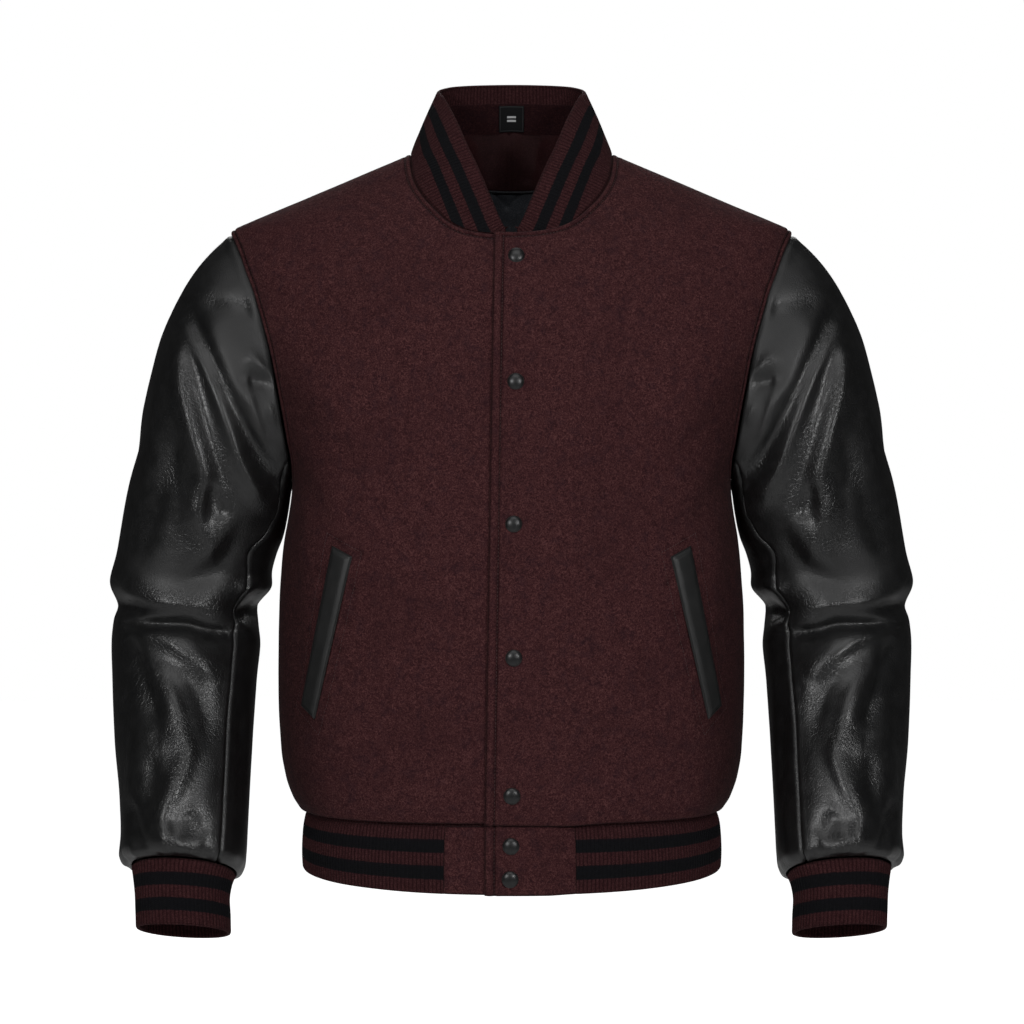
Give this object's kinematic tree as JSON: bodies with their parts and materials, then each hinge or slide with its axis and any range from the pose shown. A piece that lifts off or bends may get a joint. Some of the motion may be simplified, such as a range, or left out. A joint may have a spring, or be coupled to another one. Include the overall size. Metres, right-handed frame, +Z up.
{
  "type": "varsity jacket",
  "caption": "Varsity jacket, snapped shut and filled out as worn: wool body, leather sleeves, striped rib collar, cuffs and waistband, slanted welt pockets.",
  "frame": {"origin": "middle of the neck opening, level with the high points of the shoulders", "axes": "+Z up, towards the collar; the front faces -Y; +X towards the wearer's left sleeve"},
  "size_m": [0.7574, 0.3088, 0.8032],
  "materials": {
    "maroon_wool": "matte brushed melton, heathered",
    "black_leather": "soft satin, grained",
    "striped_rib": "matte rib knit with two black stripes",
    "black_enamel": "semi-gloss enamel",
    "label_weave": "matte woven label",
    "maroon_lining": "smooth lining",
    "black_lining": "smooth lining"
  },
  "bodies": {
    "root": {"front_left": "maroon_wool", "front_right": "maroon_wool", "back": "maroon_wool", "sleeve_top_left": "black_leather", "sleeve_top_right": "black_leather", "sleeve_under_left": "black_leather", "sleeve_under_right": "black_leather", "cuff_left": "striped_rib", "cuff_right": "striped_rib", "collar": "striped_rib", "waistband_rib": "striped_rib", "waistband_tab_left": "maroon_wool", "waistband_tab_right": "maroon_wool", "pocket_welt_left": "black_leather", "pocket_welt_right": "black_leather", "back_neck_facing": "maroon_wool", "label": "label_weave", "lining_yoke": "maroon_lining", "lining_lower": "black_lining", "lining_piping": "black_lining", "snap_1": "black_enamel", "snap_2": "black_enamel", "snap_3": "black_enamel", "snap_4": "black_enamel", "snap_5": "black_enamel", "snap_6": "black_enamel", "snap_7": "black_enamel"}
  },
  "joints": []
}
